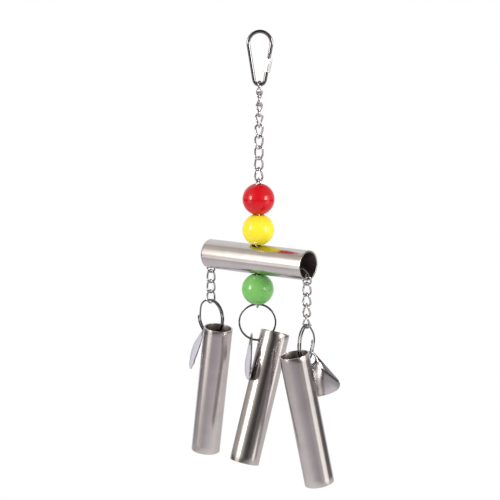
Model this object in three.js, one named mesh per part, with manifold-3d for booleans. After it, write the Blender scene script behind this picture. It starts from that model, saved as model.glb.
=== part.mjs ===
// Hanging bird chime: a quick link, a twisted-link chain with three beads and a crossbar, and three steel
// tubes on split rings, each with a thin flat clapper that swings against it.
// Sizes are in millimetres and angles in degrees. The origin is the hang point, inside the top of the quick
// link. +Z is up, +X runs along the crossbar, and plan angles turn from +X towards +Y.
import * as THREE from 'three';
import { mergeVertices } from 'three/addons/utils/BufferGeometryUtils.js';
import Module from 'manifold-3d';

const wasm = await Module();
wasm.setup();

// Gap kept between pieces that rest on each other.
const CLEARANCE = 0.3;

// Plan direction of the quick link's width.
const FACING = 38.5;

// Quick link: a pear-shaped wire loop with a gap in one leg, closed by a sleeve nut.
const QUICK_WIRE = 2.3;
const QUICK_TOP_RADIUS = 7.25;
const QUICK_BOTTOM_RADIUS = 3.5;
const QUICK_ARC_SPACING = 22.45;
const QUICK_GAP = 5;
const SLEEVE_LENGTH = 8.8;
const SLEEVE_ACROSS = 4.4;
const SLEEVE_CHAMFER = 0.5;
const SLEEVE_LIFT = 5;
const SLEEVE_GRIP = 1.2;

// Chain: twisted oval links.
const LINK_WIRE = 1.3;
const LINK_LENGTH = 9.68;
const LINK_WIDTH = 6.2;
const LINK_TWIST = 90;
const LINK_COUNT = 21;
const FREE_LINK_COUNT = 9;
const FREE_LINK_TURN = -17;
const FIRST_LINK_TURN = 105;
const LEFT_LINK_COUNT = 3;
const RIGHT_LINK_COUNT = 4;

// Beads, bored to let the chain through.
const BEAD_DIAMETER = 20.5;
const BEAD_BORE_PLAY = 0.5;

// Crossbar tube.
const BAR_DIAMETER = 19;
const BAR_WALL = 0.9;
const BAR_LENGTH = 80;
const BAR_HOLE_PLAY = 1;
const BAR_STRIP = 1.8;
const END_HOLE_PLAY = 2.4;
const END_LINK_SLACK = 1.4;
const INNER_LINK_TILT = 29;
const END_LINK_TURN = 16;
const SIDE_LINK_TURN = 24;

// Split rings: nearly two turns of wire that step over to the second layer in one place. They run slantwise
// through the holes of the tubes, so they need more slack there.
const RING_DIAMETER = 24.4;
const RING_WIRE = 1.1;
const RING_LAYER_GAP = 0.42;
const RING_CROSS_AT = 30;
const RING_CROSS_ANGLE = 50;
const RING_TIP_ANGLE = 30;
const RING_SLACK = 0.95;

// Chime tubes.
const TUBE_DIAMETER = 19;
const TUBE_WALL = 0.9;
const TUBE_LENGTH = 86;
const TUBE_RIM_HEIGHT = 7.2;
const TUBE_HOLE_PLAY = 1.4;

// Clappers: flat rounded picks. They hang more slantwise on the rings than the tubes do.
const CLAPPER_LENGTH = 30;
const CLAPPER_WIDTH = 33;
const CLAPPER_FOOT = 7.1;
const CLAPPER_CORNER = 5;
const CLAPPER_TIP_RIM = 1.4;
const CLAPPER_THICKNESS = 0.8;
const CLAPPER_HOLE_PLAY = 2.2;
const CLAPPER_SLACK = 1.6;

// How each chime hangs: plan directions of its ring, of its tube's hole and of its clapper's outer face, the
// tube's lean and the plan direction that it leans to, the clapper's lean and roll, and the places of the
// tube and the clapper on the ring, as angles from its lowest point.
const LEFT_HANG = {
  ringTurn: 171,
  holeTurn: 168.5,
  tubeAngle: 10,
  leanTurn: 168,
  leanAngle: 8.8,
  clapperTurn: 224.4,
  clapperAngle: 33.5,
  clapperLeanAngle: 21.6,
  clapperRollAngle: -15,
};
const CENTRE_HANG = {
  ringTurn: 218.5,
  holeTurn: 226,
  tubeAngle: -6,
  leanTurn: 249.5,
  leanAngle: 15.2,
  clapperTurn: 224.3,
  clapperAngle: 19.9,
  clapperLeanAngle: 5.7,
  clapperRollAngle: 0,
};
const RIGHT_HANG = {
  ringTurn: 104.5,
  holeTurn: 80,
  tubeAngle: 4,
  leanTurn: 57,
  leanAngle: 12.2,
  clapperTurn: 113.5,
  clapperAngle: 30.7,
  clapperLeanAngle: 2,
  clapperRollAngle: -10.4,
};

// Facets.
const LINK_STEPS = 16;
const WIRE_SIDES = 6;
const COIL_STEPS = 44;
const QUICK_STEPS = 48;
const QUICK_SIDES = 8;
const TUBE_SEGMENTS = 36;
const HOLE_SEGMENTS = 16;
const BEAD_SEGMENTS = 20;
const BEAD_RINGS = 12;
const CLAPPER_SEGMENTS = 6;

// Sizes that follow from the ones above.
const quickSlope = Math.asin((QUICK_TOP_RADIUS - QUICK_BOTTOM_RADIUS) / QUICK_ARC_SPACING);
const quickLeg = QUICK_ARC_SPACING * Math.cos(quickSlope);
const quickTopArcZ = QUICK_WIRE / 2 - QUICK_TOP_RADIUS;
const quickBottomArcZ = quickTopArcZ - QUICK_ARC_SPACING;
const linkHalf = (LINK_LENGTH - LINK_WIRE) / 2;
const linkSide = (LINK_WIDTH - LINK_WIRE) / 2;
const linkPitch = LINK_LENGTH - 2 * LINK_WIRE - CLEARANCE;
const beadBore = LINK_WIDTH + 2 * BEAD_BORE_PLAY;
const barHole = LINK_WIDTH + 2 * BAR_HOLE_PLAY;
const endHole = LINK_WIRE + 2 * END_HOLE_PLAY;
const bowRadius = linkSide - LINK_WIRE / 2;
const stripRise = bowRadius - Math.sqrt(Math.max(0, bowRadius * bowRadius - (BAR_STRIP * BAR_STRIP) / 4));
const innerRise = LINK_WIRE + CLEARANCE - stripRise;
const endLinkLength = 3 * LINK_WIRE + BAR_WALL + END_LINK_SLACK + innerRise;
const endLinkHalf = (endLinkLength - LINK_WIRE) / 2;
const ringRadius = (RING_DIAMETER - RING_WIRE) / 2;
const ringLayer = RING_WIRE + RING_LAYER_GAP;
const ringWidth = ringLayer + RING_WIRE;
const tubeHole = ringWidth + 2 * TUBE_HOLE_PLAY;
const clapperHole = ringWidth + 2 * CLAPPER_HOLE_PLAY;

// Distance from a hole's centre to the middle of the two ring wires that rest in it.
function wireSeat(radius, gap) {
  const reach = radius - RING_WIRE / 2 - gap;
  return Math.sqrt(Math.max(0, reach * reach - (ringLayer * ringLayer) / 4));
}
const linkSeat = wireSeat(linkSide - LINK_WIRE / 2, CLEARANCE);
const tubeSeat = wireSeat(tubeHole / 2, RING_SLACK);
const clapperSeat = wireSeat(clapperHole / 2, CLAPPER_SLACK);

// Heights down the main chain.
const quickSeatZ = quickBottomArcZ - QUICK_BOTTOM_RADIUS + QUICK_WIRE / 2;
const firstLinkZ = quickSeatZ + CLEARANCE + LINK_WIRE / 2 - linkHalf;
const lastLinkZ = firstLinkZ - (LINK_COUNT - 1) * linkPitch;
const ringDrop = linkHalf - linkSide + linkSeat + ringRadius;
const centreRingZ = lastLinkZ - ringDrop;
const beadHalf = Math.sqrt((BEAD_DIAMETER * BEAD_DIAMETER - beadBore * beadBore) / 4);
const beadOnRing = Math.sqrt((RING_DIAMETER * RING_DIAMETER - beadBore * beadBore) / 4);
const beadOnBar = Math.sqrt((BEAD_DIAMETER * BEAD_DIAMETER - barHole * barHole) / 4);
const greenZ = centreRingZ + beadOnRing + CLEARANCE + beadHalf;
const barZ = greenZ + beadOnBar + CLEARANCE + BAR_DIAMETER / 2;
const yellowZ = barZ + BAR_DIAMETER / 2 + CLEARANCE + beadOnBar;
const redZ = yellowZ + 2 * beadHalf + CLEARANCE;

// Side chains: each end link goes round the strip of wall between the end hole and the rim, and round the
// bow of a link that lies in the bore.
const stripX = (BAR_LENGTH - BAR_STRIP) / 2;
const barFloorZ = barZ - BAR_DIAMETER / 2 + BAR_WALL;
const innerBowZ = barFloorZ + CLEARANCE + LINK_WIRE / 2;
const endLinkZ = barFloorZ + stripRise + innerRise + CLEARANCE + LINK_WIRE / 2 - endLinkHalf;
const sideLinkZ = endLinkZ - endLinkHalf + LINK_WIRE + CLEARANCE - linkHalf;

const steel = { color: 0xb9b2ad, roughness: 0.2, metalness: 1 };
const nickel = { color: 0xc6c6c8, roughness: 0.25, metalness: 1 };
const group = new THREE.Group();

const radians = (angle) => THREE.MathUtils.degToRad(angle);
const planDirection = (angle) => new THREE.Vector3(Math.cos(radians(angle)), Math.sin(radians(angle)), 0);
const up = new THREE.Vector3(0, 0, 1);

function addMesh(name, geometry, look) {
  const mesh = new THREE.Mesh(geometry, new THREE.MeshStandardMaterial(look));
  mesh.name = name;
  group.add(mesh);
  return mesh;
}

function toSolid(geometry) {
  const bare = geometry.clone();
  bare.deleteAttribute('normal');
  bare.deleteAttribute('uv');
  const merged = mergeVertices(bare, 1e-4);
  return new wasm.Manifold(new wasm.Mesh({
    numProp: 3,
    vertProperties: new Float32Array(merged.attributes.position.array),
    triVerts: new Uint32Array(merged.index.array),
  }));
}

function toGeometry(solid) {
  const { vertProperties, triVerts } = solid.getMesh();
  const geometry = new THREE.BufferGeometry();
  geometry.setAttribute('position', new THREE.BufferAttribute(new Float32Array(vertProperties), 3));
  geometry.setIndex(new THREE.BufferAttribute(new Uint32Array(triVerts), 1));
  geometry.computeVertexNormals();
  return geometry;
}

// Round wire with flat ends along an open curve.
function wireAlong(curve, wire, sides, steps) {
  const section = new THREE.Shape();
  section.setFromPoints(Array.from({ length: sides }, (_, i) => {
    const angle = (2 * Math.PI * i) / sides;
    return new THREE.Vector2((wire / 2) * Math.cos(angle), (wire / 2) * Math.sin(angle));
  }));
  return new THREE.ExtrudeGeometry(section, { steps, bevelEnabled: false, extrudePath: curve });
}

// Upright hollow cylinder between two heights.
function hollowCylinder(outer, inner, bottom, top, segments) {
  const profile = [
    new THREE.Vector2(inner, bottom),
    new THREE.Vector2(outer, bottom),
    new THREE.Vector2(outer, top),
    new THREE.Vector2(inner, top),
    new THREE.Vector2(inner, bottom),
  ];
  return new THREE.LatheGeometry(profile, segments).rotateX(Math.PI / 2);
}

// Upright rod between two heights.
function rod(radius, bottom, top, segments) {
  const geometry = new THREE.CylinderGeometry(radius, radius, top - bottom, segments);
  return geometry.rotateX(Math.PI / 2).translate(0, 0, (top + bottom) / 2);
}

// Pear-shaped centreline in the XZ plane, from the gap's upper end round to its lower end.
class PearCurve extends THREE.Curve {
  constructor(gapTop, gapBottom) {
    super();
    this.runs = [
      gapTop,
      QUICK_TOP_RADIUS * (Math.PI + 2 * quickSlope),
      quickLeg,
      QUICK_BOTTOM_RADIUS * (Math.PI - 2 * quickSlope),
      quickLeg - gapBottom,
    ];
    this.gapTop = gapTop;
    this.total = this.runs.reduce((sum, run) => sum + run, 0);
  }

  leg(side, down) {
    const x = QUICK_TOP_RADIUS * Math.cos(quickSlope) - down * Math.sin(quickSlope);
    const z = quickTopArcZ - QUICK_TOP_RADIUS * Math.sin(quickSlope) - down * Math.cos(quickSlope);
    return new THREE.Vector3(side * x, 0, z);
  }

  arc(radius, z, angle) {
    return new THREE.Vector3(radius * Math.cos(angle), 0, z + radius * Math.sin(angle));
  }

  getPoint(t) {
    let along = t * this.total;
    let run = 0;
    while (run < 4 && along > this.runs[run]) {
      along -= this.runs[run];
      run += 1;
    }
    if (run === 0) return this.leg(1, this.gapTop - along);
    if (run === 1) return this.arc(QUICK_TOP_RADIUS, quickTopArcZ, along / QUICK_TOP_RADIUS - quickSlope);
    if (run === 2) return this.leg(-1, along);
    if (run === 3) {
      const angle = Math.PI + quickSlope + along / QUICK_BOTTOM_RADIUS;
      return this.arc(QUICK_BOTTOM_RADIUS, quickBottomArcZ, angle);
    }
    return this.leg(1, quickLeg - along);
  }
}

// Centreline of a link: an oval about its own middle, twisted about its length.
class LinkCurve extends THREE.Curve {
  constructor(half, side) {
    super();
    this.half = half;
    this.side = side;
    this.straight = Math.max(0, half - side);
    this.bow = half - this.straight;
  }

  getPoint(t) {
    const bowRun = Math.PI * this.side;
    const halfRun = bowRun + 2 * this.straight;
    const along = (t % 1) * 2 * halfRun;
    const sign = along < halfRun ? 1 : -1;
    const run = along % halfRun;
    let u = this.side;
    let w = this.straight - (run - bowRun);
    if (run < bowRun) {
      u = -this.side * Math.cos(run / this.side);
      w = this.straight + this.bow * Math.sin(run / this.side);
    }
    u *= sign;
    w *= sign;
    const turn = -radians(LINK_TWIST / 2) * (w / this.half);
    return new THREE.Vector3(u * Math.cos(turn), u * Math.sin(turn), w);
  }
}

// Centreline of a split ring in the XZ plane, its two layers side by side along Y.
class CoilCurve extends THREE.Curve {
  getPoint(t) {
    const first = RING_CROSS_AT + RING_TIP_ANGLE;
    const last = RING_CROSS_AT + 720 - RING_TIP_ANGLE;
    const angle = first + (last - first) * t;
    const start = RING_CROSS_AT + 360 - RING_CROSS_ANGLE / 2;
    const step = THREE.MathUtils.smoothstep(angle, start, start + RING_CROSS_ANGLE);
    const across = ringLayer * (step - 0.5);
    const turn = radians(angle);
    return new THREE.Vector3(ringRadius * Math.cos(turn), across, ringRadius * Math.sin(turn));
  }
}

// Least gap between points of a wound wire that lie more than a quarter turn apart along it.
function leastGap(curve, wire, turns) {
  const count = 400;
  const points = curve.getSpacedPoints(count);
  const apart = Math.ceil(count / (4 * turns));
  let least = Infinity;
  for (let i = 0; i < count; i += 1) {
    for (let j = i + apart; j <= count; j += 1) least = Math.min(least, points[i].distanceTo(points[j]));
  }
  return least - wire;
}

// Outline of a clapper about its hole's centre, tip up.
function clapperOutline() {
  const tip = clapperHole / 2 + CLAPPER_TIP_RIM;
  const bottom = CLAPPER_LENGTH - tip;
  const x = CLAPPER_WIDTH / 2 - CLAPPER_CORNER;
  const y = bottom - CLAPPER_FOOT;
  const reach = bottom - CLAPPER_CORNER;
  const arcY = (x * x + y * y - reach * reach) / (2 * (reach - y));
  const edge = Math.atan2(-y, x) + Math.acos((tip - CLAPPER_CORNER) / Math.hypot(x, y));
  const foot = Math.atan2(-y - arcY, x);
  const outline = new THREE.Shape();
  outline.absarc(0, 0, tip, edge, Math.PI - edge, false);
  outline.absarc(-x, -y, CLAPPER_CORNER, Math.PI - edge, Math.PI - foot, false);
  outline.absarc(0, arcY, bottom + arcY, Math.PI - foot, 2 * Math.PI + foot, false);
  outline.absarc(x, -y, CLAPPER_CORNER, foot, edge, false);
  const hole = new THREE.Path();
  hole.absarc(0, 0, clapperHole / 2, 0, 2 * Math.PI, true);
  outline.holes.push(hole);
  return outline;
}

// Clapper about the wire that it hangs on: plate down, outer face towards +X.
function clapperGeometry() {
  const settings = { depth: CLAPPER_THICKNESS, bevelEnabled: false, curveSegments: CLAPPER_SEGMENTS };
  const plate = new THREE.ExtrudeGeometry(clapperOutline(), settings);
  const upright = new THREE.Matrix4().makeBasis(new THREE.Vector3(0, 1, 0), up, new THREE.Vector3(1, 0, 0));
  return plate.applyMatrix4(upright).translate(-CLAPPER_THICKNESS / 2, 0, -clapperSeat);
}

// Chime tube about the wire that it hangs on: mouth up, hole towards +X.
function tubeGeometry() {
  const outer = TUBE_DIAMETER / 2;
  const bottom = TUBE_RIM_HEIGHT - TUBE_LENGTH;
  const wall = hollowCylinder(outer, outer - TUBE_WALL, bottom, TUBE_RIM_HEIGHT, TUBE_SEGMENTS);
  const drill = rod(tubeHole / 2, 0, TUBE_DIAMETER, HOLE_SEGMENTS).rotateY(Math.PI / 2);
  drill.translate(0, 0, -tubeSeat);
  const drilled = toSolid(wall).subtract(toSolid(drill));
  return toGeometry(drilled).translate(TUBE_WALL / 2 - outer, 0, 0);
}

// Crossbar about its own middle, along X, with chain holes through both walls and one end hole a side.
function crossbarGeometry() {
  const outer = BAR_DIAMETER / 2;
  const wall = hollowCylinder(outer, outer - BAR_WALL, -BAR_LENGTH / 2, BAR_LENGTH / 2, TUBE_SEGMENTS);
  wall.rotateY(Math.PI / 2);
  let bar = toSolid(wall).subtract(toSolid(rod(barHole / 2, -BAR_DIAMETER, BAR_DIAMETER, HOLE_SEGMENTS)));
  for (const side of [-1, 1]) {
    const drill = rod(endHole / 2, -BAR_DIAMETER, 0, HOLE_SEGMENTS);
    drill.translate(side * (BAR_LENGTH / 2 - BAR_STRIP - endHole / 2), 0, 0);
    bar = bar.subtract(toSolid(drill));
  }
  return toGeometry(bar);
}

// Bored ball.
function beadGeometry() {
  const start = Math.asin(beadBore / BEAD_DIAMETER);
  const profile = [];
  for (let i = 0; i <= BEAD_RINGS; i += 1) {
    const angle = start + ((Math.PI - 2 * start) * i) / BEAD_RINGS;
    const radius = (BEAD_DIAMETER / 2) * Math.sin(angle);
    profile.push(new THREE.Vector2(radius, -(BEAD_DIAMETER / 2) * Math.cos(angle)));
  }
  profile.push(profile[0].clone());
  return new THREE.LatheGeometry(profile, BEAD_SEGMENTS).rotateX(Math.PI / 2);
}

// Hexagonal sleeve about its own middle, upright, with chamfered ends and a round bore.
function sleeveGeometry() {
  const half = SLEEVE_LENGTH / 2;
  const corner = SLEEVE_ACROSS / 2 / Math.cos(Math.PI / 6);
  const profile = [
    new THREE.Vector2(0, -half),
    new THREE.Vector2(corner - SLEEVE_CHAMFER, -half),
    new THREE.Vector2(corner, SLEEVE_CHAMFER - half),
    new THREE.Vector2(corner, half - SLEEVE_CHAMFER),
    new THREE.Vector2(corner - SLEEVE_CHAMFER, half),
    new THREE.Vector2(0, half),
  ];
  const barrel = new THREE.LatheGeometry(profile, 24).rotateX(Math.PI / 2);
  const bore = rod(QUICK_WIRE / 2 + CLEARANCE, -SLEEVE_LENGTH, SLEEVE_LENGTH, HOLE_SEGMENTS);
  const hexagon = toSolid(rod(corner, -half, half, 6)).intersect(toSolid(barrel));
  return toGeometry(hexagon.subtract(toSolid(bore)));
}

// Quick link and sleeve.
const sleeveBottom = quickLeg - SLEEVE_LIFT;
const gapBottom = sleeveBottom - SLEEVE_GRIP;
const pear = new PearCurve(gapBottom - QUICK_GAP, gapBottom);
const quick = addMesh('quick_link', wireAlong(pear, QUICK_WIRE, QUICK_SIDES, QUICK_STEPS), nickel);
quick.rotation.z = radians(FACING);
const sleeve = addMesh('quick_link_sleeve', sleeveGeometry().rotateY(quickSlope), nickel);
sleeve.position.copy(pear.leg(1, sleeveBottom - SLEEVE_LENGTH / 2)).applyAxisAngle(up, radians(FACING));
sleeve.rotation.z = radians(FACING);

// Chain links.
function linkGeometry(half) {
  return new THREE.TubeGeometry(new LinkCurve(half, linkSide), LINK_STEPS, LINK_WIRE / 2, WIRE_SIDES, true);
}
function addLink(name, half, x, z, turn) {
  const link = addMesh(name, linkGeometry(half), nickel);
  link.position.set(x, 0, z);
  link.rotation.z = radians(turn);
}

// The main chain turns evenly from the quick link to the first bead, and then on to the centre ring.
const mainStart = FACING + FIRST_LINK_TURN;
const beadStart = mainStart + FREE_LINK_COUNT * FREE_LINK_TURN;
const mainEnd = CENTRE_HANG.ringTurn - 270 - LINK_TWIST / 2;
for (let i = 0; i < LINK_COUNT; i += 1) {
  const free = Math.min(i, FREE_LINK_COUNT);
  const threaded = Math.max(0, i - FREE_LINK_COUNT) / (LINK_COUNT - 1 - FREE_LINK_COUNT);
  const turn = mainStart + free * FREE_LINK_TURN + (mainEnd - beadStart) * threaded;
  addLink(`main_link_${String(i + 1).padStart(2, '0')}`, linkHalf, 0, firstLinkZ - i * linkPitch, turn);
}

// Beads and crossbar on the chain.
const beads = [
  ['red_bead', redZ, 0xd0121c],
  ['yellow_bead', yellowZ, 0xf7df2a],
  ['green_bead', greenZ, 0x6fbf4a],
];
for (const [name, z, color] of beads) {
  addMesh(name, beadGeometry(), { color, roughness: 0.25, metalness: 0 }).position.z = z;
}
addMesh('crossbar_tube', crossbarGeometry(), steel).position.z = barZ;

// Point on a ring's wire at an angle from its lowest point.
function onRing(centre, outward, angle) {
  const place = radians(angle);
  const point = centre.clone().addScaledVector(outward, ringRadius * Math.sin(place));
  return point.addScaledVector(up, -ringRadius * Math.cos(place));
}

// One chime: split ring, tube and clapper, hung from the last link of a chain.
function addChime(side, x, linkZ, hang) {
  const centre = new THREE.Vector3(x, 0, linkZ - ringDrop);
  const outward = planDirection(hang.ringTurn);
  const coil = wireAlong(new CoilCurve(), RING_WIRE, WIRE_SIDES, COIL_STEPS);
  const ring = addMesh(`${side}_split_ring`, coil, nickel);
  ring.position.copy(centre);
  ring.rotation.z = radians(hang.ringTurn);

  const lean = radians(hang.leanAngle);
  const axis = up.clone().multiplyScalar(Math.cos(lean));
  axis.addScaledVector(planDirection(hang.leanTurn), -Math.sin(lean));
  const across = axis.clone().cross(planDirection(hang.holeTurn)).normalize();
  const tube = addMesh(`${side}_chime_tube`, tubeGeometry(), steel);
  const stance = new THREE.Matrix4().makeBasis(across.clone().cross(axis), across, axis);
  tube.quaternion.setFromRotationMatrix(stance);
  tube.position.copy(onRing(centre, outward, hang.tubeAngle));

  const clapper = addMesh(`${side}_clapper`, clapperGeometry(), steel);
  clapper.position.copy(onRing(centre, outward, hang.clapperAngle));
  clapper.rotation.order = 'ZYX';
  clapper.rotation.x = radians(hang.clapperRollAngle);
  clapper.rotation.y = -radians(hang.clapperLeanAngle);
  clapper.rotation.z = radians(hang.clapperTurn);
}

// The link in the bore: its outer bow lies flat across the strip, and it rises inwards on its own twist.
function addInnerLink(side, sign) {
  const tilt = radians(INNER_LINK_TILT);
  const along = new THREE.Vector3(sign * Math.cos(tilt), 0, -Math.sin(tilt));
  const level = new THREE.Vector3(0, 1, 0);
  const upright = along.clone().cross(level);
  const turn = radians(LINK_TWIST / 2);
  const wide = level.clone().multiplyScalar(Math.cos(turn)).addScaledVector(upright, Math.sin(turn));
  const link = addMesh(`${side}_inner_link`, linkGeometry(linkHalf), nickel);
  link.quaternion.setFromRotationMatrix(new THREE.Matrix4().makeBasis(wide, along.clone().cross(wide), along));
  link.position.set(sign * stripX, 0, innerBowZ).addScaledVector(along, -linkHalf);
}

// A side chain: the end link turned so that its leg passes square through the end hole, then full links that
// turn evenly towards the ring, and the chime.
function addSideChain(side, sign, count, hang) {
  const x = sign * stripX;
  addLink(`${side}_end_link`, endLinkHalf, x, endLinkZ, END_LINK_TURN);
  addInnerLink(side, sign);
  const target = (((hang.ringTurn - LINK_TWIST / 2 - SIDE_LINK_TURN) % 180) + 180) % 180 - 90;
  for (let i = 1; i <= count; i += 1) {
    const turn = SIDE_LINK_TURN + (target * i) / (count + 1);
    addLink(`${side}_link_${i}`, linkHalf, x, sideLinkZ - (i - 1) * linkPitch, turn);
  }
  addChime(side, x, sideLinkZ - (count - 1) * linkPitch, hang);
}
addSideChain('left', -1, LEFT_LINK_COUNT, LEFT_HANG);
addSideChain('right', 1, RIGHT_LINK_COUNT, RIGHT_HANG);
addChime('centre', 0, lastLinkZ, CENTRE_HANG);

const ringGap = leastGap(new CoilCurve(), RING_WIRE, 660 / 360);
console.log(`split rings: least gap between their turns ${ringGap.toFixed(2)} mm`);

export default group;
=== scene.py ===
"""Looks of a hanging bird chime: quick link, chain, beads, crossbar, rings, tubes and clappers."""

import math
from typing import NamedTuple

import bmesh
import bpy
from mathutils import Matrix, Vector


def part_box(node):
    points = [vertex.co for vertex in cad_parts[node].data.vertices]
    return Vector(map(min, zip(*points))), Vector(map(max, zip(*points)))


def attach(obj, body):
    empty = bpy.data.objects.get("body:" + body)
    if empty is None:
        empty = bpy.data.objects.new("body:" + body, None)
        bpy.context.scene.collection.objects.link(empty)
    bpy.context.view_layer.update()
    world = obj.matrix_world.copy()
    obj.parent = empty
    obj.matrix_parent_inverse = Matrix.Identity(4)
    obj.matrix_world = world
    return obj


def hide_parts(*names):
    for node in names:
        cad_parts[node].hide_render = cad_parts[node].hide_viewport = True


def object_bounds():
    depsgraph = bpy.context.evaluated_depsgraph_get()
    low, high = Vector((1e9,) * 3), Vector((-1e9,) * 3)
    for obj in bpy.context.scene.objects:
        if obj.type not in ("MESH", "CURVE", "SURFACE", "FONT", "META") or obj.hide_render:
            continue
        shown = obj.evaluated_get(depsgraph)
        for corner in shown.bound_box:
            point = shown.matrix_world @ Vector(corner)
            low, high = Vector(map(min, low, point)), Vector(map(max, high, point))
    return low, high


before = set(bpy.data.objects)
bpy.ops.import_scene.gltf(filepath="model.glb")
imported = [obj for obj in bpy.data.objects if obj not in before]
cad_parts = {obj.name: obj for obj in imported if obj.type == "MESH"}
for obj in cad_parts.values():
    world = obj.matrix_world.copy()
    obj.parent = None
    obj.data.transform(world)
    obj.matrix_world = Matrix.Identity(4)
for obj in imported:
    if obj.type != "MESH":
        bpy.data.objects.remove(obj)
cad_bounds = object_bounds()

MM = 0.001
UP = Vector((0, 0, 1))

# Sizes in millimetres and angles in degrees. Those of the solids are as in the part's source.
CLEARANCE = 0.3
FACING = 38.5

# Quick link: its wire, its thread, and the tapered wire ends above and below its gap.
QUICK_WIRE = 2.3
QUICK_TOP_RADIUS = 7.25
QUICK_BOTTOM_RADIUS = 3.5
QUICK_ARC_SPACING = 22.45
QUICK_GAP = 5
THREAD_START = 0.2
THREAD_END = 5.7
THREAD_PITCH = 0.5
THREAD_DEPTH = 0.09
UPPER_END_LENGTH = 0.2
UPPER_END_TAPER = 0.25
LOWER_END_LENGTH = 0.3
LOWER_END_TAPER = 0.2

# Sleeve, with the depths of its rows of points below either end.
SLEEVE_LENGTH = 8.8
SLEEVE_ACROSS = 4.4
SLEEVE_CHAMFER = 0.5
SLEEVE_LIFT = 5
SLEEVE_GRIP = 1.2
SLEEVE_BORE_EDGE = 0.25
SLEEVE_CORNER_EDGE = 0.06
SLEEVE_ROW_DEPTHS = (0, 0.12, 0.3, SLEEVE_CHAMFER)
HEX_ANGLE = 60

# Chain links. The end links' wire is thinner, so that round wires stay apart at the swing's limit.
LINK_WIRE = 1.3
LINK_LENGTH = 9.68
LINK_WIDTH = 6.2
LINK_TWIST = 90
LINK_COUNT = 21
FREE_LINK_COUNT = 9
FREE_LINK_TURN = -17
FIRST_LINK_TURN = 105
LEFT_LINK_COUNT = 3
RIGHT_LINK_COUNT = 4
SIDE_LINK_TURN = 24
END_LINK_TURN = 16
END_LINK_WIRE = 1.18
END_LINK_SLACK = 1.4
INNER_LINK_TILT = 29

# Beads, with a rounded lip round either end of the bore.
BEAD_DIAMETER = 20.5
BEAD_BORE_PLAY = 0.5
BEAD_LIP_ANGLE = 2.2
BEAD_LIP_DEPTH = 0.35
BEAD_LIP_SHARES = (0.3, 0.6, 0.85)
BEAD_LIP_INWARD_POWER = 0.7
BEAD_LIP_DOWNWARD_POWER = 2.2

# Crossbar.
BAR_DIAMETER = 19
BAR_WALL = 0.9
BAR_LENGTH = 80
BAR_HOLE_PLAY = 1
BAR_STRIP = 1.8
END_HOLE_PLAY = 2.4

# Split rings. Half their wire's thickness between its two flats is RING_FLAT.
RING_DIAMETER = 24.4
RING_WIRE = 1.1
RING_LAYER_GAP = 0.42
RING_CROSS_AT = 30
RING_CROSS_ANGLE = 50
RING_TIP_ANGLE = 30
RING_TIP_TAPER = 0.14
RING_SLACK = 0.95
RING_FLAT = 0.44

# Chime tubes.
TUBE_DIAMETER = 19
TUBE_WALL = 0.9
TUBE_LENGTH = 86
TUBE_RIM_HEIGHT = 7.2
TUBE_HOLE_PLAY = 1.4

# Clappers. An edge step is its share of the edge's radius inwards, and down from the face.
CLAPPER_LENGTH = 30
CLAPPER_WIDTH = 33
CLAPPER_FOOT = 7.1
CLAPPER_CORNER = 5
CLAPPER_TIP_RIM = 1.4
CLAPPER_THICKNESS = 0.8
CLAPPER_HOLE_PLAY = 2.2
CLAPPER_SLACK = 1.6
CLAPPER_EDGE = 0.16
CLAPPER_EDGE_STEPS = ((0, 1), (0.3, 0.3), (1, 0))

# Rounded edges of tubes: the rims, by angles from outside to inside, and the holes.
RIM_EDGE = 0.16
RIM_OUTER_TURNS = (35, 65, 90)
RIM_INNER_TURNS = (90, 55, 25)
HOLE_EDGE = 0.1

# Fineness of the meshes. A patch round a hole is half its width in columns, and half its height.
QUICK_SIDES = 24
QUICK_END_STEP = 0.02
QUICK_END_STEPS = 12
QUICK_THREAD_STEP = 0.1
QUICK_THREAD_STEPS = 60
QUICK_PLAIN_START = 6.3
QUICK_PLAIN_STEPS = 200
LINK_SIDES = 16
LINK_STEPS = 72
RING_SIDES = 32
RING_STEPS = 240
BEAD_ROWS = 64
CLAPPER_STEPS = 180
CLAPPER_ARC_STEPS = 60
COLUMNS = 96
COLUMN_STEP = 2 * math.pi / COLUMNS
ROW_HEIGHT = 5
PATCH_ROWS = 14
PATCH_RINGS = 5
PATCH_EASE = 0.8
BAR_PATCH = (9, 5.3)
END_PATCH = (6, 3.7)
TUBE_PATCH = (7, 4.2)
SHARP_ANGLE = math.radians(40)
TINY = 1e-6
LEAST_LENGTH = 1e-9


class Hang(NamedTuple):
    """How a split ring, its tube and its clapper hang, in turns about Z, places on the ring and leans."""

    ring_turn: float
    hole_turn: float
    tube_place: float
    lean_turn: float
    lean: float
    clapper_turn: float
    clapper_place: float
    clapper_lean: float
    clapper_roll: float


LEFT_HANG = Hang(
    ring_turn=171,
    hole_turn=168.5,
    tube_place=10,
    lean_turn=168,
    lean=8.8,
    clapper_turn=224.4,
    clapper_place=33.5,
    clapper_lean=21.6,
    clapper_roll=-15,
)
CENTRE_HANG = Hang(
    ring_turn=218.5,
    hole_turn=226,
    tube_place=-6,
    lean_turn=249.5,
    lean=15.2,
    clapper_turn=224.3,
    clapper_place=19.9,
    clapper_lean=5.7,
    clapper_roll=0,
)
RIGHT_HANG = Hang(
    ring_turn=104.5,
    hole_turn=80,
    tube_place=4,
    lean_turn=57,
    lean=12.2,
    clapper_turn=113.5,
    clapper_place=30.7,
    clapper_lean=2,
    clapper_roll=-10.4,
)


def wire_seat(radius, gap):
    """How far the split ring's two turns sit from the middle of a round opening."""
    reach = radius - RING_WIRE / 2 - gap
    return math.sqrt(max(0, reach * reach - ring_layer * ring_layer / 4))


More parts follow.
